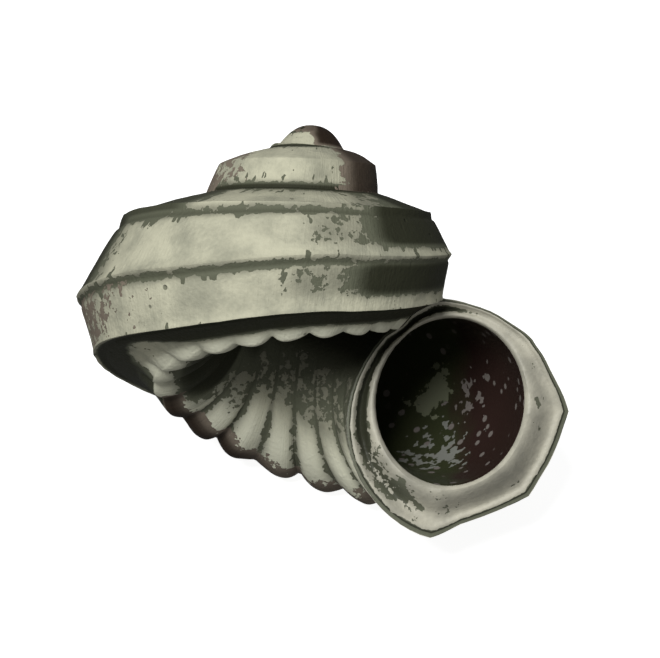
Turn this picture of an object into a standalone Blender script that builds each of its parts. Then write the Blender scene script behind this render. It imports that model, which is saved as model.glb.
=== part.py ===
"""A small sea snail shell of the top and turban kind, lying on its back with its mouth upwards.

The shell grew as one piece, so it is one closed solid. Its wall is laid down backwards, from the
lip to the apex: the outline of a whorl is carried round the coiling axis while it shrinks, and
its upper edge is welded to the whorl before it. Places along the coil are counted in whorls
behind the lip. Outlines are (radius, drop) points: the distance from the coiling axis and the
distance below the apex.

Sizes are given in mm, and those with GROWTH are the sizes at the lip. The model is in metres,
+Z is up, and the shell rests on z = 0.
"""

import math

import bmesh
import bpy
from mathutils import Matrix, Vector

MM = 0.001
WELD = 0.002 * MM

# Coiling
GROWTH = 1.88  # how much larger a whorl is than the one before it
VIRTUAL_APEX = 0.094  # above the real apex, where the coiling cone would end
STEPS = 80  # stations in each whorl
QUARTER = 0.25  # of a whorl
SPIRE_WHORLS = 3.6  # whorls behind the lip where the spire closes
UMBILICUS_WHORLS = 2.6  # whorls behind the lip where the umbilicus closes

# Radius and drop of the three keels and the umbilical cord, by whorls behind the lip
SECTIONS = {
    0.0: ((2.44, 1.95), (2.88, 2.61), (2.60, 3.48), (1.67, 3.96)),
    0.25: ((2.13, 1.51), (2.54, 2.31), (2.25, 3.04), (1.53, 3.46)),
    0.5: ((1.83, 1.15), (2.20, 1.98), (1.97, 2.51), (1.33, 2.74)),
    1.0: ((1.265, 0.77), (1.52, 1.16), (1.48, 1.62), (1.10, 1.91)),
    2.0: ((0.67, 0.34), (0.81, 0.56), (0.78, 0.80), (0.58, 0.97)),
    2.5: ((0.43, 0.19), (0.51, 0.32), (0.49, 0.46), (0.37, 0.61)),
}

# Places round the outline: 0 is the suture, 1, 2 and 3 are the keels
CORD = 4  # the umbilical cord
OLDER_CORD = 5  # the cord of the whorl before, where the umbilical wall ends

# Where a whorl is attached to the side of the one before
SUTURE_ON_SPIRE = 1.70
SUTURE_AT_LIP = 3.0
DESCENT = 0.5  # whorls over which the suture comes down before the lip

# Faces: how far each bows out, as a share of its width
FACE_BOW = (0.01, 0.015, 0.0, -0.06)
LIP_BOW = (0.08, 0.03, 0.04, 0.03)  # and at the lip
SPIRE_BOW = 0.12  # the face below the suture, on the spire
SPIRE_BOW_WHORLS = (1.1, 1.5)  # it reaches that bow between these
WALL_BOW = 0.30
WALL_FULLNESS = 0.8

# Keels: a rounded cord each, with a fine groove below it
KEEL_HIGH = 0.028
KEEL_WIDE = 0.07  # share of a face's width
GROOVE_DEEP = 0.02
GROOVE_PLACE = 0.18
PLAIN_WHORLS = (2.1, 2.7)  # the keels die out between these
FACE_COLUMNS = (0.0, 0.08, 0.18, 0.5, 0.82, 0.92)
WALL_COLUMNS = (0.0, 0.1, 0.25, 0.45, 0.65, 0.85)

# Apex: the first whorls are a smooth round button
BUTTON_RADIUS = 0.34
BUTTON_HIGH = 0.24
BUTTON_WHORLS = (2.5, 3.15)  # the whorls turn into it between these
BUTTON_ROUND = 2.4
BUTTON_TOP = 0.24  # from the apex, what is nothing but dome
COIL_CENTRE = 0.04  # from the axis, the middle of the fan that closes a coil's end
COIL_RINGS = (0.75, 0.5, 0.25)  # share of the way left to that centre

# Nodes of the umbilical cord
NODES = 20  # in each whorl
NODE_HIGH = 0.13
NODE_ROUND = 0.8
NODE_ON_BASE = 0.35  # share of the base that a node covers
NODE_ON_WALL = 0.70  # share of the umbilical wall that its fold covers

# Mouth
MOUTH_CENTRE = (1.66, 2.66)
MOUTH_RADIUS = 0.82
MOUTH_WHORLS = 0.84  # how far back the inside is open
MOUTH_STEP = 3  # stations to each ring of the inside
# The lip's face: what is left of the way to the round mouth, and how far forward
LIP_RINGS = ((0.88, 0.020), (0.70, -0.045), (0.35, -0.03), (0.15, 0.0), (0.0, -0.05))
LIP_SLANT = 0.030  # whorls that the base of the lip stays behind its top
LIP_SLANT_REACH = 0.12
LIP_FLARE = 0.045
LIP_FLARE_REACH = 0.05  # whorls

# Rest: looking into the mouth, the axis leans to the right, and the base is turned to the eye
AXIS_LEAN = 6.3  # degrees
BASE_SHOWN = 4.5
SIGHT_RISE = 54.0  # how steeply that line of sight rises from what the shell lies on
FLAT_DEPTH = 0.24  # the worn flat spot on the back that it lies on

TRIANGLES_KEPT = 0.67
SHELL_COLOUR = (0.47, 0.45, 0.35, 1.0)
SHELL_ROUGHNESS = 0.6
SHARP_FROM = 40.0  # degrees


def smooth(t):
    t = min(max(t, 0.0), 1.0)
    return t * t * (3 - 2 * t)


def mix(a, b, t):
    return a[0] + (b[0] - a[0]) * t, a[1] + (b[1] - a[1]) * t


def grown(point, whorls):
    """The point carried along the coiling cone, towards the apex."""
    size = GROWTH**-whorls
    return point[0] * size, (point[1] + VIRTUAL_APEX) * size - VIRTUAL_APEX


def keel(number, n):
    """Keel 1, 2 or 3, or the umbilical cord 4, at n whorls behind the lip."""
    later = max(place for place in SECTIONS if place <= n)
    section = grown(SECTIONS[later][number - 1], n - later)
    earlier = min((place for place in SECTIONS if place > n), default=None)
    if earlier is None:
        return section
    way = smooth((n - later) / (earlier - later))
    return mix(section, grown(SECTIONS[earlier][number - 1], n - earlier), way)


def bowed(a, b, t, bow, fullness=1.0):
    """The point at t on the way from a to b, on a face that bows out."""
    out = bow * (4 * t * (1 - t)) ** fullness
    point = mix(a, b, t)
    return point[0] + (b[1] - a[1]) * out, point[1] - (b[0] - a[0]) * out


def raised(n, point, high):
    """The point moved away from the middle of the tube."""
    middle = grown(MOUTH_CENTRE, n)
    way = (point[0] - middle[0], point[1] - middle[1])
    share = high * GROWTH**-n / math.hypot(*way)
    return point[0] + way[0] * share, point[1] + way[1] * share


def face_bow(face, n):
    """How far the face bows out there, as a share of its width."""
    bow = FACE_BOW[face]
    if face == 0:
        early, late = SPIRE_BOW_WHORLS
        bow += (SPIRE_BOW - bow) * smooth((n - early) / (late - early))
    return bow + (LIP_BOW[face] - bow) * smooth(1 - n / LIP_SLANT_REACH)


def keel_relief(n, place):
    """Height of the cord and its groove, near the keels 1, 2 and 3."""
    high = 0.0
    strength = smooth((PLAIN_WHORLS[1] - n) / (PLAIN_WHORLS[1] - PLAIN_WHORLS[0]))
    for number in (1, 2, 3):
        cord = (place - number) / KEEL_WIDE
        groove = (place - number - GROOVE_PLACE) / KEEL_WIDE
        high += KEEL_HIGH * math.exp(-cord * cord) - GROOVE_DEEP * math.exp(-groove * groove)
    return high * strength


def node_relief(n, nearness):
    """Height of the nodes, half of it above the cord: nearness is 1 on the cord and 0 at its reach."""
    wave = abs(math.cos(math.pi * NODES * n)) ** NODE_ROUND
    return NODE_HIGH * (wave - 0.5) * smooth(nearness)


def side_point(n, place):
    """The outer side of a whorl, from keel 1 to the cord."""
    face = min(int(place), CORD - 1)
    point = bowed(keel(face, n), keel(face + 1, n), place - face, face_bow(face, n))
    nearness = 1 - (CORD - place) / NODE_ON_BASE
    return raised(n, point, keel_relief(n, place) + node_relief(n, nearness))


def wall_point(n, t):
    """The wall of the umbilicus, from the cord at t = 0 to the older cord at t = 1."""
    if t == 1:
        return side_point(n + 1, CORD)
    point = bowed(keel(CORD, n), keel(CORD, n + 1), t, WALL_BOW, WALL_FULLNESS)
    return raised(n, point, node_relief(n, 1 - t / NODE_ON_WALL))


def suture_place(n):
    """How far down the side of the whorl at n the next whorl is attached."""
    descent = smooth(1 - (n - 1) / DESCENT)
    return SUTURE_ON_SPIRE + (SUTURE_AT_LIP - SUTURE_ON_SPIRE) * descent


def outline_point(n, place):
    """The whole outline, from the suture to the older cord."""
    if place < 1:
        top = side_point(n + 1, suture_place(n + 1))
        point = bowed(top, keel(1, n), place, face_bow(0, n))
        return raised(n, point, keel_relief(n, place)) if place else top
    if place >= CORD:
        return wall_point(n, place - CORD)
    if n >= 1 and place <= SUTURE_AT_LIP:
        place = min(place, suture_place(n))
    return side_point(n, place)


def dome(radius):
    """How far the button's surface is below its top."""
    return BUTTON_HIGH * min(radius / BUTTON_RADIUS, 1.0) ** BUTTON_ROUND


def on_button(n, place, radius, drop):
    """The drop of a point of the first whorls, which turn into one dome."""
    coil = n + max(0.0, 1 - place / SUTURE_ON_SPIRE)
    start, end = BUTTON_WHORLS
    return drop + (dome(radius) - drop) * smooth((coil - start) / (end - start))


def placed(n, place):
    """The outline's point in space, in the shell's own frame, with the apex at the origin."""
    flare = LIP_FLARE * smooth(1 - n / LIP_FLARE_REACH) * math.sin(math.pi * place / OLDER_CORD)
    radius, drop = raised(n, outline_point(n, place), flare)
    behind = smooth(OLDER_CORD - place)
    if place < CORD:
        drop = on_button(n, place, radius, drop)
        behind = smooth(place / CORD)
    slant = LIP_SLANT * behind * smooth(1 - n / LIP_SLANT_REACH)
    angle = 2 * math.pi * (n + slant)
    return Vector((radius * math.cos(angle), radius * math.sin(angle), -drop)) * MM


def extrude_row(bm, edges):
    """The edges extruded in place, as the new vertices and the new edges."""
    made = bmesh.ops.extrude_edge_only(bm, edges=edges)["geom"]
    verts = [part for part in made if isinstance(part, bmesh.types.BMVert)]
    row = set(verts)
    new_edges = [
        part
        for part in made
        if isinstance(part, bmesh.types.BMEdge) and row.issuperset(part.verts)
    ]
    return verts, new_edges


def grow_walls(bm):
    """The outer side and the umbilical wall, from the lip back to where each closes."""
    places = [face + t for face in range(CORD) for t in FACE_COLUMNS]
    places += [CORD + t for t in WALL_COLUMNS] + [OLDER_CORD]
    column = bm.verts.layers.float.new("place")
    verts = [bm.verts.new(placed(0, place)) for place in places]
    for vert, place in zip(verts, places):
        vert[column] = place
    edges = [bm.edges.new(pair) for pair in zip(verts, verts[1:])]

    for station in range(1, round(SPIRE_WHORLS * STEPS) + 1):
        n = station / STEPS
        verts, edges = extrude_row(bm, edges)
        for vert in verts:
            vert.co = placed(n, round(vert[column], 3))
        if station == STEPS:
            edges = [edge for edge in edges if not SUTURE_AT_LIP < middle_place(edge, column) < CORD]
        if station == round(UMBILICUS_WHORLS * STEPS):
            edges = [edge for edge in edges if middle_place(edge, column) < SUTURE_AT_LIP]


def middle_place(edge, column):
    first, second = edge.verts
    return (first[column] + second[column]) / 2


def open_loops(bm):
    """The closed loops of boundary edges."""
    left = dict.fromkeys(edge for edge in bm.edges if edge.is_boundary)
    loops = []
    while left:
        loop = [left.popitem()[0]]
        for edge in loop:
            more = [other for vert in edge.verts for other in vert.link_edges if other in left]
            for other in more:
                left.pop(other, None)
            loop += more
        loops.append(loop)
    return loops


def reach(loop):
    """How far the loop goes from the apex."""
    return max(vert.co.length for edge in loop for vert in edge.verts)


def close_spiral(bm, edges, whorls, top):
    """Rings and a fan over the loop that the wall leaves open, round a point past the coil's end."""
    angle = 2 * math.pi * (whorls + QUARTER)
    centre = Vector((math.cos(angle), math.sin(angle), 0)) * COIL_CENTRE * MM
    centre.z = top
    left = 1.0
    for share in COIL_RINGS:
        verts, edges = extrude_row(bm, edges)
        for vert in verts:
            vert.co = centre + (vert.co - centre) * share / left
        left = share
    face = bmesh.ops.holes_fill(bm, edges=edges)["faces"]
    bmesh.ops.poke(bm, faces=face)["verts"][0].co = centre


def round_top(bm):
    """The middle of the button laid on its dome."""
    for vert in bm.verts:
        if vert.co.length < BUTTON_TOP * MM:
            vert.co.z = -dome(vert.co.xy.length / MM) * MM


def toward_mouth(co, share, forward):
    """The point drawn towards the round mouth: share is what is left of its distance."""
    angle = math.atan2(co.y, co.x)
    radius, drop = math.hypot(co.x, co.y) / MM, -co.z / MM
    way = Vector((radius - MOUTH_CENTRE[0], drop - MOUTH_CENTRE[1]))
    way *= (MOUTH_RADIUS + (way.length - MOUTH_RADIUS) * share) / way.length
    radius, drop = MOUTH_CENTRE[0] + way.x, MOUTH_CENTRE[1] + way.y
    angle -= forward / radius
    return Vector((radius * math.cos(angle), radius * math.sin(angle), -drop)) * MM


def hollow_mouth(bm, edges):
    """The face of the lip, and the inside of the last whorl."""
    left = 1.0
    for share, forward in LIP_RINGS:
        verts, edges = extrude_row(bm, edges)
        for vert in verts:
            vert.co = toward_mouth(vert.co, share / left if left else 0, forward)
        left = share
    turn = MOUTH_STEP / STEPS
    apex = Matrix.Translation((0, 0, VIRTUAL_APEX * MM))
    step = apex @ Matrix.Rotation(2 * math.pi * turn, 4, "Z")
    step = step @ Matrix.Scale(GROWTH**-turn, 4) @ apex.inverted()
    for _ in range(round(MOUTH_WHORLS / turn)):
        verts, edges = extrude_row(bm, edges)
        bmesh.ops.transform(bm, matrix=step, verts=verts)
    bmesh.ops.holes_fill(bm, edges=edges)


def grown_mesh():
    """The whole shell in its own frame, closed, with the apex at the origin."""
    bm = bmesh.new()
    grow_walls(bm)
    bmesh.ops.remove_doubles(bm, verts=bm.verts, dist=WELD)
    spire, umbilicus, lip = sorted(open_loops(bm), key=reach)
    roof = max(vert.co.z for edge in umbilicus for vert in edge.verts)
    close_spiral(bm, umbilicus, UMBILICUS_WHORLS, roof)
    close_spiral(bm, spire, SPIRE_WHORLS, 0)
    round_top(bm)
    hollow_mouth(bm, lip)
    bmesh.ops.recalc_face_normals(bm, faces=bm.faces)
    mesh = bpy.data.meshes.new("shell")
    bm.to_mesh(mesh)
    bm.free()
    return mesh


def thinned(shell):
    """The mesh with the triangles that its flatter parts can spare taken out."""
    thinner = shell.modifiers.new("Thinner", "DECIMATE")
    thinner.ratio = TRIANGLES_KEPT
    thinner.use_collapse_triangulate = True
    evaluated = shell.evaluated_get(bpy.context.evaluated_depsgraph_get())
    mesh = bpy.data.meshes.new_from_object(evaluated)
    shell.modifiers.clear()
    return mesh


def lay_down(mesh):
    """The shell turned on its back, over the origin, with its lowest part worn flat at z = 0."""
    turn = Matrix.Rotation(math.radians(90 - SIGHT_RISE), 4, "X")
    turn @= Matrix.Rotation(math.radians(-AXIS_LEAN), 4, "Z")
    turn @= Matrix.Rotation(math.radians(-90 - BASE_SHOWN), 4, "X")
    bm = bmesh.new()
    bm.from_mesh(mesh)
    bmesh.ops.transform(bm, matrix=turn, verts=bm.verts)
    low = [min(vert.co[axis] for vert in bm.verts) for axis in range(3)]
    high = [max(vert.co[axis] for vert in bm.verts) for axis in range(3)]
    way = Vector((-(low[0] + high[0]) / 2, -(low[1] + high[1]) / 2, -low[2] - FLAT_DEPTH * MM))
    bmesh.ops.translate(bm, vec=way, verts=bm.verts)
    cut = bmesh.ops.bisect_plane(
        bm, geom=bm.verts[:] + bm.edges[:] + bm.faces[:], plane_no=(0, 0, 1), clear_inner=True
    )["geom_cut"]
    rim = [part for part in cut if isinstance(part, bmesh.types.BMEdge)]
    for vert in {vert for edge in rim for vert in edge.verts}:
        vert.co.z = 0
    bmesh.ops.holes_fill(bm, edges=rim)
    bmesh.ops.triangulate(bm, faces=bm.faces)
    bm.to_mesh(mesh)
    bm.free()


def shell_material():
    material = bpy.data.materials.new("shell")
    material.use_nodes = True
    surface = material.node_tree.nodes["Principled BSDF"]
    surface.inputs["Base Color"].default_value = SHELL_COLOUR
    surface.inputs["Roughness"].default_value = SHELL_ROUGHNESS
    surface.inputs["Metallic"].default_value = 0.0
    return material


for old in list(bpy.data.objects):
    bpy.data.objects.remove(old, do_unlink=True)
shell = bpy.data.objects.new("shell", grown_mesh())
bpy.context.collection.objects.link(shell)
shell.data = thinned(shell)
lay_down(shell.data)
shell.data.materials.append(shell_material())
shell.data.shade_smooth()
shell.data.set_sharp_from_angle(angle=math.radians(SHARP_FROM))
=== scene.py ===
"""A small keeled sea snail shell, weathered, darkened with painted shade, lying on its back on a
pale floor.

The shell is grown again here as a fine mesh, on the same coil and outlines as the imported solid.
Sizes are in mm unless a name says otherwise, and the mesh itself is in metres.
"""

import functools
import math

import bmesh
import bpy
from mathutils import Matrix, Vector, noise


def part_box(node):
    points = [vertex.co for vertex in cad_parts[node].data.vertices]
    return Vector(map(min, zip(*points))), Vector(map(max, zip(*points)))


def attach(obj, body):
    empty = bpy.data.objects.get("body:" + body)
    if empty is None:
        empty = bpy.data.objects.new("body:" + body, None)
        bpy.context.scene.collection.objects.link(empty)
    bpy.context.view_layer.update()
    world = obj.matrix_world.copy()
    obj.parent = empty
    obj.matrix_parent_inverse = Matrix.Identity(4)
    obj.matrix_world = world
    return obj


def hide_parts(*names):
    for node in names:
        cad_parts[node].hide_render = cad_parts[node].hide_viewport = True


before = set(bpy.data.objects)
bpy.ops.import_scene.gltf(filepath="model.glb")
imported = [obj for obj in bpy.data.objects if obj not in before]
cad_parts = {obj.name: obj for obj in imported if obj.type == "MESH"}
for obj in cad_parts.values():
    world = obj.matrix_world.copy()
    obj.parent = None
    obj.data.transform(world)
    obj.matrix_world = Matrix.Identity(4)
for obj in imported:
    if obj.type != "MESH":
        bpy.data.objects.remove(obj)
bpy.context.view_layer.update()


# THE COILED WALL
# One wall of chalky lime, laid down at the lip while the snail grew. Three keels run round
# it, a nodular cord borders the umbilicus, and each whorl is welded on to the one before.
MM = 0.001
WELD = 0.002 * MM
GROWTH = 1.88  # how much larger a whorl is than the one before it
VIRTUAL_APEX = 0.094  # how far above the apex the point lies that the coil shrinks towards
STATIONS = 300  # in each whorl
SPIRE_WHORLS = 3.6
UMBILICUS_WHORLS = 2.6

# Keels 1, 2 and 3 and the cord, as (radius, drop) from the coiling axis and the apex, by the
# number n of whorls behind the lip.
OUTLINES = {
    0.0: ((2.44, 1.95), (2.88, 2.61), (2.60, 3.48), (1.67, 3.96)),
    0.25: ((2.13, 1.51), (2.54, 2.31), (2.25, 3.04), (1.53, 3.46)),
    0.5: ((1.83, 1.15), (2.20, 1.98), (1.97, 2.51), (1.33, 2.74)),
    0.62: ((1.68, 1.05), (2.02, 1.76), (1.83, 2.35), (1.26, 2.52)),
    0.8: ((1.46, 0.90), (1.76, 1.42), (1.66, 1.98), (1.20, 2.20)),
    1.0: ((1.265, 0.77), (1.52, 1.16), (1.48, 1.62), (1.10, 1.91)),
    1.5: ((0.925, 0.505), (1.03, 0.84), (1.07, 1.16), (0.80, 1.366)),
    2.0: ((0.665, 0.34), (0.72, 0.62), (0.75, 0.82), (0.58, 0.97)),
    2.5: ((0.365, 0.19), (0.44, 0.30), (0.47, 0.46), (0.37, 0.61)),
}

# Places round the outline: 0 is the suture, 1 to 3 the keels, 4 the cord of the umbilicus, and
# 5 the same cord one whorl earlier, across the wall of the umbilicus.
KEELS = (1, 2, 3)
CORD = 4
OLDER_CORD = 5
SUTURE_ON_SPIRE = 2.0  # the place that the next whorl is welded to
SUTURE_AT_LIP = 3.0
DESCENT = 0.5  # whorls over which the suture goes down to the third keel
FACE_BOW = (0.01, 0.015, 0.0, -0.06)  # of the four faces, as a share of their width
LIP_BOW = (0.08, 0.03, 0.04, 0.03)  # the same at the lip
SPIRE_BOW = 0.03
SPIRE_BOW_FROM = (1.1, 1.5)
WALL_BOW = 0.30
LIP_WALL_BOW = 0.33
WALL_FULLNESS = 0.8
MOUTH_CENTRE = (1.66, 2.66)
LIP_REACH = 0.12  # whorls over which the wall takes the lip's form
LIP_SLANT = 0.030
LIP_FLARE = 0.045
LIP_FLARE_REACH = 0.05
# Shares of a face's width at which the mesh has its columns, closest below a keel or the cord.
FACE_COLUMNS = (
    0, 0.03, 0.06, 0.09, 0.12, 0.15, 0.18, 0.21, 0.25,
    0.32, 0.4, 0.5, 0.6, 0.7, 0.8, 0.87, 0.92, 0.96,
)
WALL_COLUMNS = (
    0, 0.02, 0.05, 0.08, 0.12, 0.16, 0.2, 0.25, 0.3, 0.36,
    0.42, 0.49, 0.56, 0.63, 0.7, 0.77, 0.84, 0.9, 0.95,
)

KEEL_HIGH = 0.024
KEEL_WIDE = 0.055  # share of a face's width
KEELS_FADE = (1.5, 1.1)  # whorls behind the lip: none past the first, whole up to the second
KEEL_BEADS = 55  # low, uneven beads in each whorl
BEAD_HIGH = 0.010
GROOVE_DEEP = 0.026
GROOVE_PLACE = 0.13  # below each keel
GROOVE_WIDE = 0.045
NODES = 20  # in each whorl
NODE_HIGH = 0.13
NODE_ROUND = 0.8
NODE_UNEVEN = 0.7
NODE_ON_BASE = 0.35  # how far the nodes reach, as a share of the base's width
NODE_ON_WALL = 0.70  # and of the wall of the umbilicus
LUMPS = 0.010  # height of the wall's slow unevenness
LUMPS_ROUND = 34.0  # of them in each whorl
LUMPS_DOWN = 3.0  # on each face
LUMPS_FRACTAL = (1.0, 2.0, 2)  # how fast smaller lumps fade, how much smaller they get, octaves
LUMPS_FREE = (0.15, 0.3)  # how far from the upper and the lower seam they are whole
BUTTON_RADIUS = 0.34  # of the dome that the first whorls make
BUTTON_HIGH = 0.24
BUTTON_WHORLS = (2.5, 3.15)
BUTTON_ROUND = 2.4
BUTTON_TOP = 0.24
COIL_CENTRE = 0.04  # how far from the axis the coil's end is closed
COIL_RINGS = (0.75, 0.5, 0.25)
QUARTER_TURN = 0.25


def smooth(t):
    t = min(max(t, 0.0), 1.0)
    return t * t * (3 - 2 * t)


def eased(value, none, full):
    """0 up to none and 1 from full on, smooth between. Full may be the smaller of the two."""
    return smooth((value - none) / (full - none))


def hump(way, width):
    return math.exp(-((way / width) ** 2))


def mix(a, b, t):
    return a[0] + (b[0] - a[0]) * t, a[1] + (b[1] - a[1]) * t


@functools.cache
def grown(point, whorls):
    """The point carried along the coiling cone, towards the apex."""
    size = GROWTH**-whorls
    return point[0] * size, (point[1] + VIRTUAL_APEX) * size - VIRTUAL_APEX


@functools.cache
def keel(number, n):
    """Keel 1, 2 or 3, or the cord 4, at n whorls behind the lip."""
    later = max(place for place in OUTLINES if place <= n)
    section = grown(OUTLINES[later][number - 1], n - later)
    earlier = min((place for place in OUTLINES if place > n), default=None)
    if earlier is None:
        return section
    older = grown(OUTLINES[earlier][number - 1], n - earlier)
    return mix(section, older, eased(n, later, earlier))


def bowed(a, b, t, bow, fullness=1.0):
    """A point of the curve from a to b, which stands out from the straight line by bow."""
    out = bow * (4 * t * (1 - t)) ** fullness
    point = mix(a, b, t)
    return point[0] + (b[1] - a[1]) * out, point[1] - (b[0] - a[0]) * out


def raised(n, point, high):
    """The point moved away from the middle of the tube."""
    middle = grown(MOUTH_CENTRE, n)
    way = (point[0] - middle[0], point[1] - middle[1])
    share = high * GROWTH**-n / math.hypot(*way)
    return point[0] + way[0] * share, point[1] + way[1] * share


def face_bow(face, n):
    bow = FACE_BOW[face]
    if face == 0:
        bow += (SPIRE_BOW - bow) * eased(n, *SPIRE_BOW_FROM)
    return bow + (LIP_BOW[face] - bow) * eased(n, LIP_REACH, 0)


def keel_relief(n, place):
    """The keels as low beaded cords, each with a fine groove below it."""
    high = 0.0
    for number in KEELS:
        bead = noise.noise(Vector((KEEL_BEADS * n, number, 0)))
        high += (KEEL_HIGH + BEAD_HIGH * bead) * hump(place - number, KEEL_WIDE)
        high -= GROOVE_DEEP * hump(place - number - GROOVE_PLACE, GROOVE_WIDE)
    return high * eased(n, *KEELS_FADE) * eased(n, 0, LIP_REACH)


def node_wave(n):
    """1 on the crest of each node, 0 in the gaps between them."""
    return abs(math.cos(math.pi * NODES * n)) ** NODE_ROUND


def node_relief(n, nearness):
    uneven = 1 + NODE_UNEVEN * noise.noise(Vector((NODES * n, 0, CORD)))
    return NODE_HIGH * uneven * (node_wave(n) - 0.5) * smooth(nearness)


def lumps(n, place):
    """The slow unevenness of the wall, none at the seams where whorls are welded."""
    upper, lower = LUMPS_FREE
    free = eased(place, 0, upper) * eased(place, OLDER_CORD, OLDER_CORD - lower)
    spot = Vector((LUMPS_ROUND * n, LUMPS_DOWN * place, 0))
    return LUMPS * noise.fractal(spot, *LUMPS_FRACTAL) * free


@functools.cache
def side_point(n, place):
    face = min(int(place), CORD - 1)
    point = bowed(keel(face, n), keel(face + 1, n), place - face, face_bow(face, n))
    nearness = 1 - (CORD - place) / NODE_ON_BASE
    return raised(n, point, keel_relief(n, place) + node_relief(n, nearness) + lumps(n, place))


def wall_point(n, t):
    """The wall of the umbilicus, from the cord at t = 0 to the older cord at t = 1."""
    if t == 1:
        return side_point(n + 1, CORD)
    bow = WALL_BOW + (LIP_WALL_BOW - WALL_BOW) * eased(n, LIP_REACH, 0)
    point = bowed(keel(CORD, n), keel(CORD, n + 1), t, bow, WALL_FULLNESS)
    return raised(n, point, node_relief(n, 1 - t / NODE_ON_WALL) + lumps(n, CORD + t))


def suture_place(n):
    """The place of whorl n that the whorl after it is welded to."""
    return SUTURE_ON_SPIRE + (SUTURE_AT_LIP - SUTURE_ON_SPIRE) * eased(n, 1 + DESCENT, 1)


def outline_point(n, place):
    if place < 1:
        top = side_point(n + 1, suture_place(n + 1))
        point = bowed(top, keel(1, n), place, face_bow(0, n))
        return raised(n, point, keel_relief(n, place) + lumps(n, place)) if place else top
    if place >= CORD:
        return wall_point(n, place - CORD)
    return side_point(n, place)


def dome(radius):
    return BUTTON_HIGH * min(radius / BUTTON_RADIUS, 1.0) ** BUTTON_ROUND


def on_button(n, place, radius, drop):
    """The drop of a point of the first whorls, which turn into one dome."""
    coil = n + max(0.0, 1 - place / SUTURE_ON_SPIRE)
    return drop + (dome(radius) - drop) * eased(coil, *BUTTON_WHORLS)


def placed(n, place):
    """The outline's point in space, with the apex at the origin and the axis upright."""
    flare = LIP_FLARE * eased(n, LIP_FLARE_REACH, 0) * math.sin(math.pi * place / OLDER_CORD)
    radius, drop = raised(n, outline_point(n, place), flare)
    behind = eased(place, OLDER_CORD, CORD)
    if place < CORD:
        drop = on_button(n, place, radius, drop)
        behind = eased(place, 0, CORD)
    slant = LIP_SLANT * behind * eased(n, LIP_REACH, 0)
    angle = 2 * math.pi * (n + slant)
    return Vector((radius * math.cos(angle), radius * math.sin(angle), -drop)) * MM


# How much painted shade each place gets. Pairs are whorls behind the lip, or places, at which
# a kind of painted shade has not begun yet and at which it is whole.
# Painted shade in the seams between whorls and in the fine grooves under the keels.
SEAM_SHADE_WIDE = 0.23
UPPER_SEAM = (3.0, 2.6)
LOWER_SEAM = (3.4, 3.0)
SEAM_AT_LIP = (0, 0.05)
GROOVE_SHADE_WIDE = 0.12
GROOVE_HELD = 0.70
GROOVES_FADE = (1.5, 1.2)
TICKS_REACH = 2.6  # times as far from a seam as its painted shade

RIGHT_SHADE_PAST = 0.5  # the upper faces are dark with painted shade on two sides, none nearer to the lip than this
RIGHT_SHADE_FROM = (0.785, 0.735, 0.715)  # of a turn, on each of the upper faces
MOTTLED_AFTER = (0, 0.04)
WHOLE_AFTER = (0.07, 0.12)
MOTTLED_HELD = 0.48
RIGHT_SHADE_UNTIL = (0.35, 0.15)
SPIRE_SHADE = 0.60
SPIRE_SHADE_FROM = (1.0, 1.45)
LIT_KEEL_STRIPES = (1.95, 2.90)  # along the two lower keels, whose crests the painted shade leaves lit
STRIPE_WIDE = 0.16

SHOULDER_END = 1.09  # the shoulder between the suture and the first keel, on the far left, dark with painted shade
SHOULDER_HELD = 0.80
SHOULDER_STARTS = (0.20, 0.44)
SHOULDER_STOPS = (0.665, 0.605)
LEFT_EDGE = (0.512, 0.045, 0.90)  # painted shade along the left edge: turn, reach and share, on the face below it

CHANNEL_STARTS = (3.02, 3.07)  # painted shade on the base between the last keel and the cord
CHANNEL_EDGE = 3.80
CHANNEL_FADES = 0.16
CHANNEL_THIN = 0.3
CHANNEL_DARKENS = (0.34, 0.42)
BASE_HELD = 0.82
BASE_SHADED = (0.53, 0.49)
ISLAND_TURN = 0.555  # a lighter place in the base's painted shade
ISLAND_LONG = 0.05
ISLAND_WIDE = 0.38
ISLAND_HELD = 0.30

WALL_SHADE_START = 0.38  # painted shade deep in the umbilicus, as t from the cord
WALL_SHADE_STEPS = ((0.30, 0.35, 0.20), (0.385, 0.42, -0.30))  # two turns, and the start then
WALL_UNSHADED = 0.12
WALL_MOTTLED = (-0.1, 0.1)  # past the start
WALL_WHOLE = (0.25, 0.55)
WALL_MOTTLED_HELD = 0.52
GAP_HELD = 0.78  # painted shade between the ribs
GAP_FROM = (0, 0.05)


def nearness(n, place, reach=TICKS_REACH):
    """1 in a seam or a groove, less to both sides of it."""
    near = hump(place, SEAM_SHADE_WIDE * reach) * eased(n, *UPPER_SEAM) * eased(n, *SEAM_AT_LIP)
    if n >= 1 and place <= SUTURE_AT_LIP:
        lower = hump(suture_place(n) - place, SEAM_SHADE_WIDE * reach)
        near = max(near, lower * eased(n, *LOWER_SEAM))
    for number in KEELS:
        groove = GROOVE_HELD * hump(place - number - GROOVE_PLACE, GROOVE_SHADE_WIDE * reach)
        near = max(near, groove * eased(n, *GROOVES_FADE))
    return near


def right_side_shade(n, place):
    """Painted shade on the upper faces, from their right side on and round to the back."""
    around = n % 1
    past = around - RIGHT_SHADE_FROM[int(place)]
    held = MOTTLED_HELD * eased(past, *MOTTLED_AFTER)
    held += (1 - MOTTLED_HELD) * eased(past, *WHOLE_AFTER)
    if around < RIGHT_SHADE_PAST:
        held = eased(around, *RIGHT_SHADE_UNTIL)
    held *= 1 - (1 - SPIRE_SHADE) * eased(n, *SPIRE_SHADE_FROM)
    for stripe in LIT_KEEL_STRIPES:
        held *= 1 - hump(place - stripe, STRIPE_WIDE)
    return held


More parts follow.
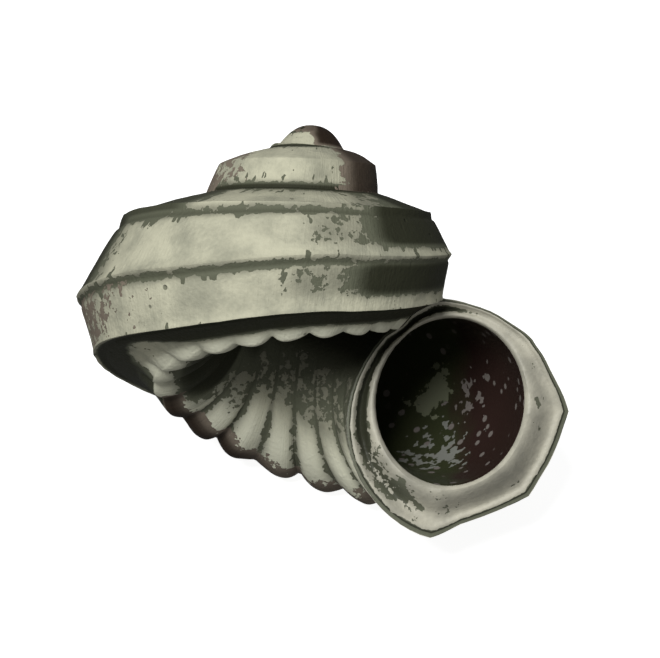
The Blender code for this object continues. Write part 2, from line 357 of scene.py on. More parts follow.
def channel_shade(n, place):
    """Painted shade on the base, with a lighter island in it."""
    island = hump(n - ISLAND_TURN, ISLAND_LONG)
    edge = CHANNEL_EDGE - ISLAND_WIDE * island
    starts = eased(place, *CHANNEL_STARTS)
    channel = starts * eased(place, edge, edge - CHANNEL_FADES)
    whole = BASE_HELD * starts * eased(n, *BASE_SHADED)
    dark = CHANNEL_THIN + (1 - CHANNEL_THIN) * eased(n, *CHANNEL_DARKENS)
    return max(channel * dark, whole * dark, ISLAND_HELD * island)


def wall_shade(n, t):
    """Painted shade in the umbilicus, deep inside it and in the gaps between its ribs."""
    start = WALL_SHADE_START
    for early, late, there in WALL_SHADE_STEPS:
        start += (there - start) * eased(n, early, late)
    deep = WALL_MOTTLED_HELD * eased(t - start, *WALL_MOTTLED)
    deep += (1 - WALL_MOTTLED_HELD) * eased(t - start, *WALL_WHOLE)
    gap = GAP_HELD * (1 - node_wave(n)) * eased(t, *GAP_FROM)
    return max(deep * eased(t, 0, WALL_UNSHADED), gap)


def painted_shade(n, place):
    """Painted shade, from 0 for bare lime to 1 where it is darkest."""
    held = nearness(n, place, 1)
    if place < SUTURE_AT_LIP and n > RIGHT_SHADE_PAST:
        held = max(held, right_side_shade(n, place))
    if place < SHOULDER_END and n < 1:
        shoulder = eased(n, *SHOULDER_STARTS) * eased(n, *SHOULDER_STOPS)
        held = max(held, SHOULDER_HELD * shoulder)
    if 1 < place < 2:
        turn, reach, share = LEFT_EDGE
        held = max(held, share * hump(n - turn, reach))
    if SUTURE_AT_LIP < place < CORD:
        held = max(held, channel_shade(n, place))
    if place >= CORD:
        held = max(held, wall_shade(n, place - CORD))
    return held


# Where the painted shade is brown: under the crests of the last nodes, down the far left side,
# and on the sides of the first whorls and of the apex. The top of the dome is brown as well.
BROWN_CREST = 4.02
BROWN_CREST_WIDE = 0.08
CREST_BROWN = 0.66
CREST_BROWN_MORE = 0.3
CREST_DARKENS = (0.25, 0.31)
CREST_FROM_LIP = (0, 0.06)
CREST_LAST = (0.47, 0.41)
BROWN_SIDES = ((0.49, 0.12, 0.48), (1.50, 0.11, 0.56))  # turn, reach, share
BROWN_LEFT_FACE = (2.1, 3.0)  # the only face that the first of them shows on
PAST_LEFT_FACE = 1.2
SPIRE_BROWN = 0.88
SPIRE_BROWN_FROM = (1.78, 1.87)
SPIRE_BROWN_TO = (2.35, 2.15)
APEX_BROWN = 0.75  # over the top of the dome, and nearly black with painted shade on its right half
APEX_TOP = (0.27, 0.19)
APEX_SIDE = (0.36, 0.30)
APEX_RIGHT = (-0.11, 0.09)
APEX_WAVES = 0.07
APEX_WAVES_EACH_METRE = 8000


def brownness(n, place, spot):
    """From 0 for none to 1 for nearly black brown."""
    radius = spot.xy.length / MM
    brown_shade_share = CREST_BROWN + CREST_BROWN_MORE * eased(n, *CREST_DARKENS)
    brown_shade_share *= eased(n, *CREST_LAST) * eased(n, *CREST_FROM_LIP)
    brown_shade_share *= hump(place - BROWN_CREST, BROWN_CREST_WIDE)
    low, high = BROWN_LEFT_FACE
    if n > PAST_LEFT_FACE or low < place < high:
        for turn, reach, share in BROWN_SIDES:
            brown_shade_share = max(brown_shade_share, share * hump(n - turn, reach))
    brown_shade_share = max(brown_shade_share, SPIRE_BROWN * eased(n, *SPIRE_BROWN_FROM) * eased(n, *SPIRE_BROWN_TO))
    brown_shade_share = max(brown_shade_share, APEX_BROWN * eased(radius, *APEX_TOP))
    wavy = APEX_WAVES * noise.noise(spot * APEX_WAVES_EACH_METRE)
    return max(brown_shade_share, eased(spot.x / MM + wavy, *APEX_RIGHT) * eased(radius, *APEX_SIDE))


def draw_wall(bm):
    """A flat sheet of stations and columns, each corner of which is then put in its place."""
    places = [face + t for face in range(CORD) for t in FACE_COLUMNS]
    places += [CORD + t for t in WALL_COLUMNS] + [OLDER_CORD]
    stations, columns = round(SPIRE_WHORLS * STATIONS), len(places) - 1
    bmesh.ops.create_grid(bm, x_segments=stations, y_segments=columns, size=1.0)
    held, near, brown = (bm.verts.layers.float.new(name) for name in ("painted_shade", "seam", "brown"))
    growth_map = bm.loops.layers.uv.new("growth")
    spots = {}
    for vert in bm.verts:
        n = round((vert.co.x + 1) / 2 * stations) / STATIONS
        spots[vert] = (n, places[round((vert.co.y + 1) / 2 * columns)])
    spare = []
    for face in bm.faces:
        n = max(spots[vert][0] for vert in face.verts)
        place = sum(spots[vert][1] for vert in face.verts) / len(face.verts)
        covered = n > 1 and SUTURE_AT_LIP < place < CORD
        closed_in = n > UMBILICUS_WHORLS and place > SUTURE_AT_LIP
        if covered or closed_in:
            spare.append(face)
            continue
        for loop in face.loops:
            loop[growth_map].uv = spots[loop.vert]
    bmesh.ops.delete(bm, geom=spare, context="FACES")
    for vert in bm.verts:
        n, place = spots[vert]
        if n >= 1 and place <= SUTURE_AT_LIP:
            place = min(place, suture_place(n))
        vert.co = placed(n, place)
        vert[near] = nearness(n, place)
        vert[held] = painted_shade(n, place)
        vert[brown] = brownness(n, place, vert.co)
    bmesh.ops.remove_doubles(bm, verts=bm.verts, dist=WELD)
    return held


def extrude_row(bm, edges):
    """The edges extruded in place, as the new vertices, edges and faces."""
    made = bmesh.ops.extrude_edge_only(bm, edges=edges)["geom"]
    verts = [part for part in made if isinstance(part, bmesh.types.BMVert)]
    faces = [part for part in made if isinstance(part, bmesh.types.BMFace)]
    row = set(verts)
    new_edges = [
        part
        for part in made
        if isinstance(part, bmesh.types.BMEdge) and row.issuperset(part.verts)
    ]
    return verts, new_edges, faces


def open_loops(bm):
    """The closed loops of boundary edges."""
    left = dict.fromkeys(edge for edge in bm.edges if edge.is_boundary)
    loops = []
    while left:
        loop = [left.popitem()[0]]
        for edge in loop:
            more = [other for vert in edge.verts for other in vert.link_edges if other in left]
            for other in more:
                left.pop(other, None)
            loop += more
        loops.append(loop)
    return loops


def farthest(loop):
    return max(vert.co.length for edge in loop for vert in edge.verts)


def close_spiral(bm, edges, whorls, top):
    """Rings and a fan over the loop that the wall leaves open, round a point past the coil's end."""
    angle = 2 * math.pi * (whorls + QUARTER_TURN)
    centre = Vector((math.cos(angle), math.sin(angle), 0)) * COIL_CENTRE * MM
    centre.z = top
    left = 1.0
    for share in COIL_RINGS:
        verts, edges, _ = extrude_row(bm, edges)
        for vert in verts:
            vert.co = centre + (vert.co - centre) * share / left
        left = share
    face = bmesh.ops.holes_fill(bm, edges=edges)["faces"]
    bmesh.ops.poke(bm, faces=face)["verts"][0].co = centre


def round_top(bm):
    """The vertices round the apex put on the dome."""
    for vert in bm.verts:
        if vert.co.length < BUTTON_TOP * MM:
            vert.co.z = -dome(vert.co.xy.length / MM) * MM


shell_bm = bmesh.new()
held_layer = draw_wall(shell_bm)
spire_end, umbilicus_end, lip_edge = sorted(open_loops(shell_bm), key=farthest)
roof = max(vert.co.z for edge in umbilicus_end for vert in edge.verts)
close_spiral(shell_bm, umbilicus_end, UMBILICUS_WHORLS, roof)
close_spiral(shell_bm, spire_end, SPIRE_WHORLS, 0)
round_top(shell_bm)


# THE LIP AND THE HOLLOW MOUTH
# The end of the tube: a thin bright rim, a groove inside it, dark with painted shade, which is
# deepest on the side of the umbilicus, and a smooth ring round the hole. The bore runs back with the
# coil.
HOLE_CENTRE = (1.69, 2.66)
HOLE_HALF = (0.76, 0.86)  # across and along the axis
BORE_WHORLS = 0.84
BORE_STATIONS = 110  # in each whorl
LIP_RINGS = (
    0.98, 0.95, 0.92, 0.88, 0.84, 0.80, 0.76, 0.72, 0.68, 0.64, 0.60,
    0.55, 0.50, 0.44, 0.37, 0.30, 0.23, 0.16, 0.10, 0.05, 0.0,
)  # shares of the way from the hole's edge to the lip's edge
LIP_SURFACE = 1
BORE_SURFACE = 2

RIM = 0.82
RIM_WIDE = 0.09
RIM_HIGH = 0.030
GROOVE = 0.50
GROOVE_REACH = 0.15
GROOVE_SHALLOW = 0.008
GROOVE_DEEPER = 0.082  # this much more beside the umbilicus
RING = 0.16
RING_WIDE = 0.15
RING_HIGH = 0.012
LIP_BEVEL = 0.035
HOLE_EDGE_WIDE = 0.07
HOLE_EDGE_LOW = 0.05
EDGE_HELD_FAST = 1.2  # how soon the face leaves the slant of the lip's edge

LOW_FROM = (0.1, 0.7)  # the lower part of the lip, as the way down over the way out
OUTER_FROM = (0.5, 0.7)
LIP_GROOVE_SHADE_WIDE = 0.23
LOW_SHADE_WIDER = 0.20
LIP_GROOVE_SHADE = 0.30
INNER_SHADE_MORE = 0.80
LOW_SHADE_LESS = 0.38
# painted shadow patches on the outer side: how dark, where down, how long, middle share and width
OUTER_SHADOWS = ((0.50, -0.10, 0.22, 0.32, 0.28), (0.64, 0.66, 0.13, 0.60, 0.07))
INSIDE_SHADE_MOST = 0.86
EDGE_SHADE = 0.98
EDGE_SHADE_FROM = (0.86, 0.89)


def lip_forward(share, inner):
    """How far the lip's face stands forward, where inner is 1 beside the umbilicus."""
    high = RIM_HIGH * hump(share - RIM, RIM_WIDE)
    high -= (GROOVE_SHALLOW + GROOVE_DEEPER * inner) * hump(share - GROOVE, GROOVE_REACH)
    high += RING_HIGH * inner * hump(share - RING, RING_WIDE)
    high -= LIP_BEVEL * (1 - inner) * eased(share, 1, 0)
    return high - HOLE_EDGE_LOW * hump(share, HOLE_EDGE_WIDE)


def lip_shade(share, across, down, inner):
    """Painted shade on the lip's face: in its groove, in two patches on the outer side, and along
    its very edge.
    """
    low = eased(down, *LOW_FROM)
    shaded = hump(share - GROOVE, LIP_GROOVE_SHADE_WIDE + LOW_SHADE_WIDER * low)
    shaded *= (LIP_GROOVE_SHADE + INNER_SHADE_MORE * inner) * (1 - LOW_SHADE_LESS * low)
    for held, where, long, middle, wide in OUTER_SHADOWS:
        spot = hump(down - where, long) * hump(share - middle, wide)
        shaded = max(shaded, held * eased(across, *OUTER_FROM) * spot)
    return max(min(shaded, INSIDE_SHADE_MOST), EDGE_SHADE * eased(share, *EDGE_SHADE_FROM))


def toward_mouth(start, share):
    """The lip's edge point drawn towards the oval hole, and how much painted shade it gets there."""
    angle = math.atan2(start.y, start.x)
    radius, drop = math.hypot(start.x, start.y) / MM, -start.z / MM
    way = Vector(((radius - HOLE_CENTRE[0]) / HOLE_HALF[0], (drop - HOLE_CENTRE[1]) / HOLE_HALF[1]))
    across, down = way.normalized()
    inner = smooth(0.5 - across)
    way *= (1 + (way.length - 1) * share) / way.length
    radius, drop = HOLE_CENTRE[0] + way.x * HOLE_HALF[0], HOLE_CENTRE[1] + way.y * HOLE_HALF[1]
    angle = angle * smooth(share * EDGE_HELD_FAST) - lip_forward(share, inner) / radius
    spot = Vector((radius * math.cos(angle), radius * math.sin(angle), -drop)) * MM
    return spot, lip_shade(share, across, down, inner)


def finish_lip(bm, edges, held):
    """The face of the lip, as rings from its edge to the hole."""
    starts = {vert: vert.co.copy() for edge in edges for vert in edge.verts}
    for share in LIP_RINGS:
        verts, edges, faces = extrude_row(bm, edges)
        ring = {}
        for vert in verts:
            others = (edge.other_vert(vert) for edge in vert.link_edges)
            ring[vert] = starts[next(other for other in others if other in starts)]
        starts = ring
        for vert in verts:
            vert.co, vert[held] = toward_mouth(starts[vert], share)
        for face in faces:
            face.material_index = LIP_SURFACE
    return edges


def bore(bm, edges):
    """The inside of the last whorl, wound back round the axis while it narrows."""
    turn = 1 / BORE_STATIONS
    apex = Matrix.Translation((0, 0, VIRTUAL_APEX * MM))
    step = apex @ Matrix.Rotation(2 * math.pi * turn, 4, "Z")
    step = step @ Matrix.Scale(GROWTH**-turn, 4) @ apex.inverted()
    for _ in range(round(BORE_WHORLS / turn)):
        verts, edges, faces = extrude_row(bm, edges)
        bmesh.ops.transform(bm, matrix=step, verts=verts)
        for face in faces:
            face.material_index = BORE_SURFACE
    for face in bmesh.ops.holes_fill(bm, edges=edges)["faces"]:
        face.material_index = BORE_SURFACE


hole_edge = finish_lip(shell_bm, lip_edge, held_layer)
bore(shell_bm, hole_edge)
bmesh.ops.recalc_face_normals(shell_bm, faces=shell_bm.faces)


# THE SHELL AS IT LIES
# A loose shell that has come to rest on the back of its last whorl, which is worn flat where
# it touches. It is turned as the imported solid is, and stands for that solid.
AXIS_LEAN = 6.3  # degrees, as are the next three
BASE_SHOWN = 4.5
SIGHT_RISE = 54.0
SHARP_FROM = 50.0


def lay_down(bm, low_corner, high_corner):
    """The shell on its back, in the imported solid's box, cut off level where it rests."""
    turn = Matrix.Rotation(math.radians(90 - SIGHT_RISE), 4, "X")
    turn @= Matrix.Rotation(math.radians(-AXIS_LEAN), 4, "Z")
    turn @= Matrix.Rotation(math.radians(-90 - BASE_SHOWN), 4, "X")
    bmesh.ops.transform(bm, matrix=turn, verts=bm.verts)
    low = [min(vert.co[axis] for vert in bm.verts) for axis in range(3)]
    high = [max(vert.co[axis] for vert in bm.verts) for axis in range(3)]
    room = [high_corner[axis] - low_corner[axis] for axis in (0, 1)]
    fit = min(1.0, *(room[axis] / (high[axis] - low[axis]) for axis in (0, 1)))
    bmesh.ops.scale(bm, vec=(fit, fit, fit), verts=bm.verts)
    way = Vector((-(low[0] + high[0]) / 2, -(low[1] + high[1]) / 2, -high[2])) * fit
    way.z += high_corner.z
    bmesh.ops.translate(bm, vec=way, verts=bm.verts)
    cut = bmesh.ops.bisect_plane(
        bm, geom=bm.verts[:] + bm.edges[:] + bm.faces[:], plane_no=(0, 0, 1), clear_inner=True
    )["geom_cut"]
    rim = [part for part in cut if isinstance(part, bmesh.types.BMEdge)]
    for vert in {vert for edge in rim for vert in edge.verts}:
        vert.co.z = 0
    bmesh.ops.holes_fill(bm, edges=rim)


low_corner, high_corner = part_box("shell")
lay_down(shell_bm, low_corner, high_corner)
shell_mesh = bpy.data.meshes.new("keeled_shell")
shell_bm.to_mesh(shell_mesh)
shell_bm.free()
keeled_shell = bpy.data.objects.new("keeled_shell", shell_mesh)
bpy.context.collection.objects.link(keeled_shell)
shell_mesh.shade_smooth()
shell_mesh.set_sharp_from_angle(angle=math.radians(SHARP_FROM))


# THE WEATHERED OUTSIDE
# Dull grey-olive lime with fine growth lines and small pits. Nearly black painted shade lies in
# the hollows and on the shaded sides, with a broken edge, and a thinner brown painted shade
# below the nodes and down the sides; the top of the apex is brown too.
LIGHT_LIME = (0.56, 0.55, 0.41, 1.0)
GREY_LIME = (0.33, 0.33, 0.25, 1.0)
# bare lime greyed with painted shade, more where the painted shade is near
SHADED_LIME = (0.125, 0.125, 0.092, 1.0)
CREST_HIGHLIGHT_LIME = (0.74, 0.74, 0.58, 1.0)
DARK_SHADE = (0.030, 0.032, 0.018, 1.0)
OLIVE_SHADE = (0.125, 0.132, 0.090, 1.0)
LIGHT_BROWN = (0.21, 0.175, 0.135, 1.0)
DARK_BROWN = (0.022, 0.013, 0.007, 1.0)

# Scales of patterns are cells in each metre, and the pairs are the values between which a
# share goes from none to all.
SHADE_COARSE = 5500.0
SHADE_FINE = 17000.0
SHADE_FINE_SHARE = 0.6
SHADE_MIDDLE = 0.8  # the mean of the two noises together
SHADE_EDGE = (0.49, 0.53)
CHALK_CLOUDS = 2300.0
CHALK_GRAIN = 22000.0
GRAIN_IN_TONE = 0.25
LIME_TONES = (0.38, 0.85)

TICKS = (85.0, 2.0, 1.0)  # axial ticks in the painted shade of the seams: cells in each whorl and on each face
TICK_EDGE = (0.585, 0.635)
TICK_DARK = 0.8
TICK_WAVES = 0.8
BROWN_RAGGED = 1.3
BROWN_SPREAD = 0.10
BROWN_FROM = (0.02, 0.15)
SHADE_DARKENS = (0.55, 0.95)
BROWN_DARKENS = (0.40, 1.05)
# painted light: the cord's crest made paler, as if lit
CREST_STARTS = (3.70, 3.88)
CREST_STOPS = (4.18, 4.45)
SHADED_LIME_FROM = (0.05, 0.75)
SHADED_LIME_MOST = 0.75
# Small pits, sunk by the bump and darkened inside with painted shade.
PITS = 3600.0
PITS_FEW = (0.60, 0.61)
PIT_EDGE = (0.06, 0.12)
PIT_DARK = 0.8

GROWTH_LINES = (330.0, 1.2, 1.0)
LINES_HIGH = 0.7
GRAIN_HIGH = 0.8
PIT_DEEP = 1.2
SHADE_SUNK = 0.4
OUTSIDE_BUMP = 0.012 * MM
OUTSIDE_ROUGHNESS = (0.55, 0.85)
OUTSIDE_SPECULAR = 0.15


def add(tree, kind, inputs=(), **settings):
    """A node of that kind, with its settings, and its inputs set or linked."""
    node = tree.nodes.new(kind)
    for name, value in settings.items():
        setattr(node, name, value)
    for name, value in dict(inputs).items():
        if isinstance(value, bpy.types.NodeSocket):
            tree.links.new(value, node.inputs[name])
        else:
            node.inputs[name].default_value = value
    return node


def math_step(tree, operation, first, second, third=None):
    inputs = {0: first, 1: second}
    if third is not None:
        inputs[2] = third
    return add(tree, "ShaderNodeMath", inputs, operation=operation).outputs[0]


def ramped(tree, value, none, full):
    """Nothing at none, all at full, smooth between."""
    inputs = {"Value": value, "From Min": none, "From Max": full}
    return add(tree, "ShaderNodeMapRange", inputs, interpolation_type="SMOOTHSTEP").outputs["Result"]


def faded(tree, value, full, none):
    """All at full, nothing at none, smooth between."""
    return math_step(tree, "SUBTRACT", 1.0, ramped(tree, value, full, none))


def ranged(tree, value, low, high):
    inputs = {"Value": value, "To Min": low, "To Max": high}
    return add(tree, "ShaderNodeMapRange", inputs).outputs["Result"]


def mixed(tree, share, first, second):
    """One colour turning into the other. The mix node's colour sockets are 6 and 7, and 2 out."""
    inputs = {0: share, 6: first, 7: second}
    return add(tree, "ShaderNodeMix", inputs, data_type="RGBA").outputs[2]


def noise_at(tree, place, scale, detail, roughness=0.5):
    inputs = {"Vector": place, "Scale": scale, "Detail": detail, "Roughness": roughness}
    return add(tree, "ShaderNodeTexNoise", inputs).outputs["Fac"]


def vector_step(tree, operation, first, second):
    return add(tree, "ShaderNodeVectorMath", {0: first, 1: second}, operation=operation).outputs


def attribute(tree, name):
    return add(tree, "ShaderNodeAttribute", attribute_name=name).outputs["Fac"]


def bumped(tree, height, strength, distance):
    inputs = {"Strength": strength, "Distance": distance, "Height": height}
    return add(tree, "ShaderNodeBump", inputs).outputs["Normal"]


def new_group(name, takes, gives):
    """An empty node group, and the ends of its named sockets."""
    group = bpy.data.node_groups.new(name, "ShaderNodeTree")
    for socket, kind in takes.items():
        group.interface.new_socket(socket, in_out="INPUT", socket_type=kind)
    for socket, kind in gives.items():
        group.interface.new_socket(socket, in_out="OUTPUT", socket_type=kind)
    given = group.nodes.new("NodeGroupInput").outputs
    return group, given, group.nodes.new("NodeGroupOutput").inputs


def new_material(name):
    """A material with its node tree, its shader's inputs, and the place on the piece."""
    material = bpy.data.materials.new(name)
    material.use_nodes = True
    tree = material.node_tree
    place = add(tree, "ShaderNodeTexCoord").outputs["Object"]
    return material, tree, tree.nodes["Principled BSDF"].inputs, place


def shade_group():
    """Painted shade with a broken edge: it fills what has at least Held of it, more or less."""
    takes = {
        "Place": "NodeSocketVector",
        "Held": "NodeSocketFloat",
        "Ragged": "NodeSocketFloat",
        "Spread": "NodeSocketFloat",
    }
    group, given, out = new_group("ragged painted shade", takes, {"Shade": "NodeSocketFloat"})
    coarse = noise_at(group, given["Place"], SHADE_COARSE, detail=3.0, roughness=0.6)
    fine = noise_at(group, given["Place"], SHADE_FINE, detail=2.0, roughness=0.6)
    wander = math_step(group, "MULTIPLY_ADD", fine, SHADE_FINE_SHARE, coarse)
    wander = math_step(group, "SUBTRACT", wander, SHADE_MIDDLE)
    level = math_step(group, "MULTIPLY_ADD", wander, given["Ragged"], given["Held"])
    level = math_step(group, "ADD", level, given["Spread"])
    group.links.new(ramped(group, level, *SHADE_EDGE), out["Shade"])
    return group


def chalk_group():
    """The grain of bare lime: a value for its colour, and its height."""
    gives = {"Tone": "NodeSocketFloat", "Height": "NodeSocketFloat"}
    group, given, out = new_group("chalk grain", {"Place": "NodeSocketVector"}, gives)
    clouds = noise_at(group, given["Place"], CHALK_CLOUDS, detail=4.0, roughness=0.55)
    grain = noise_at(group, given["Place"], CHALK_GRAIN, detail=3.0, roughness=0.6)
    tone = math_step(group, "MULTIPLY_ADD", grain, GRAIN_IN_TONE, clouds)
    group.links.new(tone, out["Tone"])
    group.links.new(grain, out["Height"])
    return group


ragged_shade = shade_group()
chalk_grain = chalk_group()


def shade_on(tree, place, held, ragged, spread):
    inputs = {"Place": place, "Held": held, "Ragged": ragged, "Spread": spread}
    return add(tree, "ShaderNodeGroup", inputs, node_tree=ragged_shade).outputs["Shade"]


def chalk_on(tree, place):
    chalk = add(tree, "ShaderNodeGroup", {"Place": place}, node_tree=chalk_grain).outputs
    return chalk["Tone"], chalk["Height"]


def weathered_outside_and_shade():
    material, tree, surface, place = new_material("weathered_outside_and_shade")
    growth = add(tree, "ShaderNodeUVMap", uv_map="growth").outputs["UV"]
    held, near, brown = (attribute(tree, name) for name in ("painted_shade", "seam", "brown"))
    tone, grain = chalk_on(tree, place)

    ticks = vector_step(tree, "MULTIPLY", growth, TICKS)["Vector"]
    ticks = noise_at(tree, ticks, 1.0, detail=2.0)
    tick = math_step(tree, "MULTIPLY", ramped(tree, ticks, *TICK_EDGE), TICK_DARK)
    ticks = math_step(tree, "SUBTRACT", ticks, 0.5)
    tick = math_step(tree, "MULTIPLY_ADD", ticks, TICK_WAVES, tick)
    level = math_step(tree, "MULTIPLY_ADD", tick, near, held)
    shade = shade_on(tree, place, level, ragged=1.0, spread=0.0)
    brown_film = shade_on(tree, place, brown, BROWN_RAGGED, BROWN_SPREAD)
    brown_film = math_step(tree, "MULTIPLY", brown_film, ramped(tree, brown, *BROWN_FROM))
    shade = math_step(tree, "MAXIMUM", shade, brown_film)

    pits = add(tree, "ShaderNodeTexVoronoi", {"Vector": place, "Scale": PITS}).outputs
    pit = faded(tree, pits["Distance"], *PIT_EDGE)
    pit = math_step(tree, "MULTIPLY", ramped(tree, pits["Color"], *PITS_FEW), pit)

    bare = mixed(tree, ramped(tree, tone, *LIME_TONES), GREY_LIME, LIGHT_LIME)
    around = add(tree, "ShaderNodeSeparateXYZ", {0: growth}).outputs["Y"]
    lit_crest = ramped(tree, around, *CREST_STARTS)
    lit_crest = math_step(tree, "SUBTRACT", lit_crest, ramped(tree, around, *CREST_STOPS))
    bare = mixed(tree, lit_crest, bare, CREST_HIGHLIGHT_LIME)
    lime_shading = math_step(tree, "MULTIPLY", ramped(tree, held, *SHADED_LIME_FROM), SHADED_LIME_MOST)
    bare = mixed(tree, lime_shading, bare, SHADED_LIME)
    bare = mixed(tree, math_step(tree, "MULTIPLY", pit, PIT_DARK), bare, OLIVE_SHADE)
    dark = mixed(tree, ramped(tree, held, *SHADE_DARKENS), OLIVE_SHADE, DARK_SHADE)
    brown_shade = mixed(tree, ramped(tree, brown, *BROWN_DARKENS), LIGHT_BROWN, DARK_BROWN)
    dark = mixed(tree, brown_film, dark, brown_shade)
    tree.links.new(mixed(tree, shade, bare, dark), surface["Base Color"])
    tree.links.new(ranged(tree, grain, *OUTSIDE_ROUGHNESS), surface["Roughness"])
    surface["Specular IOR Level"].default_value = OUTSIDE_SPECULAR

    lines = vector_step(tree, "MULTIPLY", growth, GROWTH_LINES)["Vector"]
    lines = noise_at(tree, lines, 1.0, detail=3.0, roughness=0.6)
    height = math_step(tree, "MULTIPLY", grain, GRAIN_HIGH)
    height = math_step(tree, "MULTIPLY_ADD", lines, LINES_HIGH, height)
    height = math_step(tree, "SUBTRACT", height, math_step(tree, "MULTIPLY", pit, PIT_DEEP))
    height = math_step(tree, "SUBTRACT", height, math_step(tree, "MULTIPLY", shade, SHADE_SUNK))
    tree.links.new(bumped(tree, height, strength=1.0, distance=OUTSIDE_BUMP), surface["Normal"])
    return material


# THE LIP'S FACE
# Newer, smoother lime than the outside, with a slight shine. Painted shade lies black in its
# groove and in two patches on the outer side, and olive along its very edge.
PALE_LIP = (0.52, 0.50, 0.40, 1.0)
GREY_LIP = (0.33, 0.32, 0.26, 1.0)
LIP_RAGGED = 1.3
LIP_SPREAD = -0.04
LIP_DARKENS = (0.50, 0.78)
EDGE_OLIVE = (0.88, 0.96)
LIP_ROUGHNESS = (0.38, 0.6)
LIP_SHADE_SUNK = 0.6
LIP_BUMP = 0.008 * MM


def smooth_lip():
    material, tree, surface, place = new_material("smooth_lip")
    held = attribute(tree, "painted_shade")
    tone, grain = chalk_on(tree, place)
    shade = shade_on(tree, place, held, LIP_RAGGED, LIP_SPREAD)
    bare = mixed(tree, ramped(tree, tone, *LIME_TONES), GREY_LIP, PALE_LIP)
    deep = ramped(tree, held, *LIP_DARKENS)
    deep = math_step(tree, "SUBTRACT", deep, ramped(tree, held, *EDGE_OLIVE))
    dark = mixed(tree, deep, OLIVE_SHADE, DARK_SHADE)
    tree.links.new(mixed(tree, shade, bare, dark), surface["Base Color"])
    tree.links.new(ranged(tree, tone, *LIP_ROUGHNESS), surface["Roughness"])
    sunk = math_step(tree, "MULTIPLY", shade, LIP_SHADE_SUNK)
    height = math_step(tree, "SUBTRACT", grain, sunk)
    tree.links.new(bumped(tree, height, strength=0.8, distance=LIP_BUMP), surface["Normal"])
    return material


# THE LINING OF THE MOUTH
# A thin glossy lining, dark with painted shade: almost black on the umbilical side and deep
# red-brown on the outer side, with dull grey-green patches and specks of painted reflection from its
# pearly shine.
OLIVE_BLACK = (0.034, 0.039, 0.017, 1.0)
RED_BROWN = (0.030, 0.016, 0.013, 1.0)
OLIVE_PATCH = (0.15, 0.16, 0.10, 1.0)
GREY_SPOT = (0.17, 0.15, 0.135, 1.0)
GREY_SHEEN = (0.19, 0.195, 0.17, 1.0)

# In metres from here on, as shader nodes see the piece.
LINING_TURNS = (0.00125, 0.00160)  # across X, where the painted shade turns from olive-black to red-brown
TURNS_WANDER = 0.0006
BLOB = (0.00118, 0.00034, 0.00053)  # a painted reflection, in one soft patch
BLOB_EDGE = (0.00021, 0.00023)
BLOB_WANDER = 0.0009
BROKEN_SHEEN = (0.00117, -0.00050, 0.00056)  # a painted reflection in broken pieces, and its specks
BROKEN_SHEEN_EDGE = (0.00022, 0.00024)
SHEEN_SPECKS = (0.00156, 0.00004, 0.00083)
SHEEN_SPECKS_EDGE = (0.00007, 0.00009)
BROKEN_SHEEN_WANDER = 0.0022
BROKEN_SHEEN_MIDDLE = 0.47  # of the noise that breaks it
WANDER_SCALE = 2500.0
LARGE_SCALE = 5200.0
SMALL_SCALE = 8500.0
SPOTS = 8000.0
SPOT_EDGE = (0.25, 0.35)
SPOTS_FEW = (0.64, 0.66)
LINING_ROUGHNESS = (0.35, 0.6)
LINING_BUMP = 0.01 * MM


def lining_shade_and_sheen():
    material, tree, surface, place = new_material("lining_shade_and_sheen")
    across = add(tree, "ShaderNodeSeparateXYZ", {0: place}).outputs["X"]
    wander = noise_at(tree, place, WANDER_SCALE, detail=2.0)
    wander = math_step(tree, "SUBTRACT", wander, 0.5)
    across = math_step(tree, "MULTIPLY_ADD", wander, TURNS_WANDER, across)
    large = noise_at(tree, place, LARGE_SCALE, detail=4.0, roughness=0.6)
    wavy = math_step(tree, "SUBTRACT", large, 0.5)
    wavy = math_step(tree, "MULTIPLY", wavy, BLOB_WANDER)
    broken = noise_at(tree, place, SMALL_SCALE, detail=2.0, roughness=0.6)
    broken = math_step(tree, "SUBTRACT", broken, BROKEN_SHEEN_MIDDLE)
    broken = math_step(tree, "MULTIPLY", broken, BROKEN_SHEEN_WANDER)

    def patch_at(centre, edge, unevenness):
        away = vector_step(tree, "DISTANCE", place, centre)["Value"]
        return faded(tree, math_step(tree, "ADD", unevenness, away), *edge)

    blob = patch_at(BLOB, BLOB_EDGE, wavy)
    broken_sheen = patch_at(BROKEN_SHEEN, BROKEN_SHEEN_EDGE, broken)
    spots = add(tree, "ShaderNodeTexVoronoi", {"Vector": place, "Scale": SPOTS}).outputs
    spot = faded(tree, spots["Distance"], *SPOT_EDGE)
    spot = math_step(tree, "MULTIPLY", ramped(tree, spots["Color"], *SPOTS_FEW), spot)
    spot = math_step(tree, "MAXIMUM", spot, patch_at(SHEEN_SPECKS, SHEEN_SPECKS_EDGE, broken))
    patch = math_step(tree, "MAXIMUM", math_step(tree, "MAXIMUM", blob, broken_sheen), spot)

    colour = mixed(tree, ramped(tree, across, *LINING_TURNS), OLIVE_BLACK, RED_BROWN)
    colour = mixed(tree, blob, colour, OLIVE_PATCH)
    colour = mixed(tree, spot, colour, GREY_SPOT)
    tree.links.new(mixed(tree, broken_sheen, colour, GREY_SHEEN), surface["Base Color"])
    tree.links.new(ranged(tree, patch, *LINING_ROUGHNESS), surface["Roughness"])
    tree.links.new(bumped(tree, large, strength=0.6, distance=LINING_BUMP), surface["Normal"])
    return material


for make in (weathered_outside_and_shade, smooth_lip, lining_shade_and_sheen):
    shell_mesh.materials.append(make())
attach(keeled_shell, "root")
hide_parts("shell")


# THE FLOOR
# A plain white sheet that the shell lies on. It glows as paper does under a broad light, and
# throws none of that on the shell.
FLOOR_HALF = 0.5  # metres
FLOOR_COLOUR = (0.50, 0.50, 0.50, 1.0)
FLOOR_ROUGHNESS = 0.9
FLOOR_GLOW = 0.89
WHITE = (1.0, 1.0, 1.0, 1.0)

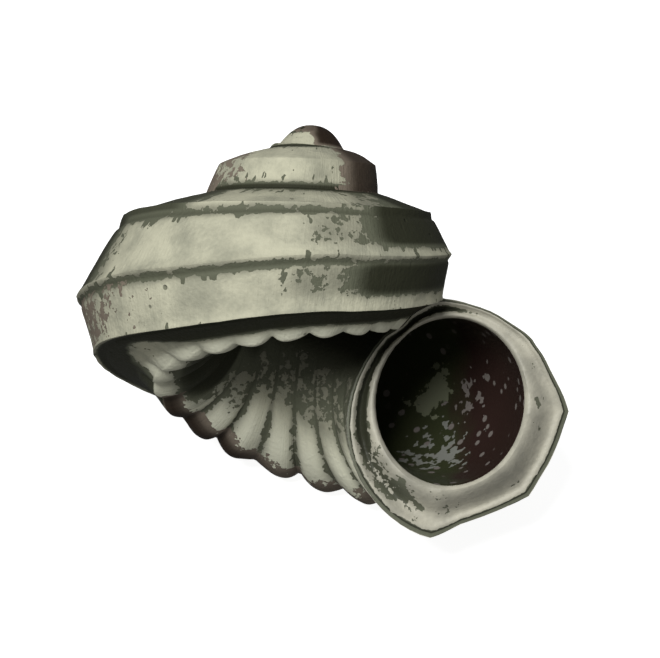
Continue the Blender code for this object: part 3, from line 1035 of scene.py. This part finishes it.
floor_bm = bmesh.new()
bmesh.ops.create_grid(floor_bm, x_segments=1, y_segments=1, size=FLOOR_HALF)
floor_mesh = bpy.data.meshes.new("floor")
floor_bm.to_mesh(floor_mesh)
floor_bm.free()
floor = bpy.data.objects.new("floor", floor_mesh)
bpy.context.collection.objects.link(floor)
paper = bpy.data.materials.new("white_paper")
paper.use_nodes = True
sheet = paper.node_tree.nodes["Principled BSDF"].inputs
sheet["Base Color"].default_value = FLOOR_COLOUR
sheet["Roughness"].default_value = FLOOR_ROUGHNESS
sheet["Emission Color"].default_value = WHITE
sheet["Emission Strength"].default_value = FLOOR_GLOW
floor_mesh.materials.append(paper)
floor.visible_diffuse = False
floor.visible_glossy = False


# THE LIGHT
# One broad soft light from close to the eye, a little above it and to its left, and an even
# white room that fills the shadows.
LIGHT_FROM = (-0.24, 0.36, 0.90)  # right, up and towards the eye, as the picture is seen
LIGHT_ANGLE = 24.0  # degrees
LIGHT_POWER = 3.0
FILL = 0.20

sight = Matrix.Rotation(math.radians(90 - SIGHT_RISE), 3, "X")
window = bpy.data.lights.new("window", "SUN")
window.energy = LIGHT_POWER
window.angle = math.radians(LIGHT_ANGLE)
window_object = bpy.data.objects.new("window", window)
window_object.rotation_euler = (sight @ Vector(LIGHT_FROM)).to_track_quat("Z", "Y").to_euler()
bpy.context.collection.objects.link(window_object)

room = bpy.data.worlds.new("room")
room.use_nodes = True
bpy.context.scene.world = room
background = room.node_tree.nodes["Background"].inputs
background["Color"].default_value = WHITE
background["Strength"].default_value = FILL
bpy.context.scene.view_settings.view_transform = "Standard"


# THE CAMERA
# A long lens, far away, at the photo's viewing angle. The shell's outline lies in the picture
# where it does in the photo.
PICTURE = (660, 658)  # pixels
SHELL_MIDDLE = (322.5, 331.5)  # the middle of the shell's outline in the picture
PIXEL = 0.010246 * MM
LENS = 600.0
SENSOR = 36.0
CLIP_SHARE = 10  # the picture is cut off this many times nearer, and farther, than the shell

camera = bpy.data.cameras.new("camera")
camera.lens = LENS
camera.sensor_width = SENSOR
distance = PICTURE[0] * PIXEL * LENS / SENSOR
camera.clip_start = distance / CLIP_SHARE
camera.clip_end = distance * CLIP_SHARE
seen = [sight.transposed() @ vert.co for vert in shell_mesh.vertices]
low_seen = [min(point[axis] for point in seen) for axis in range(3)]
high_seen = [max(point[axis] for point in seen) for axis in range(3)]
aim = (Vector(low_seen) + Vector(high_seen)) / 2
aim.x += (PICTURE[0] / 2 - SHELL_MIDDLE[0]) * PIXEL
aim.y -= (PICTURE[1] / 2 - SHELL_MIDDLE[1]) * PIXEL
aim.z += distance
camera_object = bpy.data.objects.new("camera", camera)
camera_object.matrix_world = Matrix.Translation(sight @ aim) @ sight.to_4x4()
bpy.context.collection.objects.link(camera_object)
bpy.context.scene.camera = camera_object
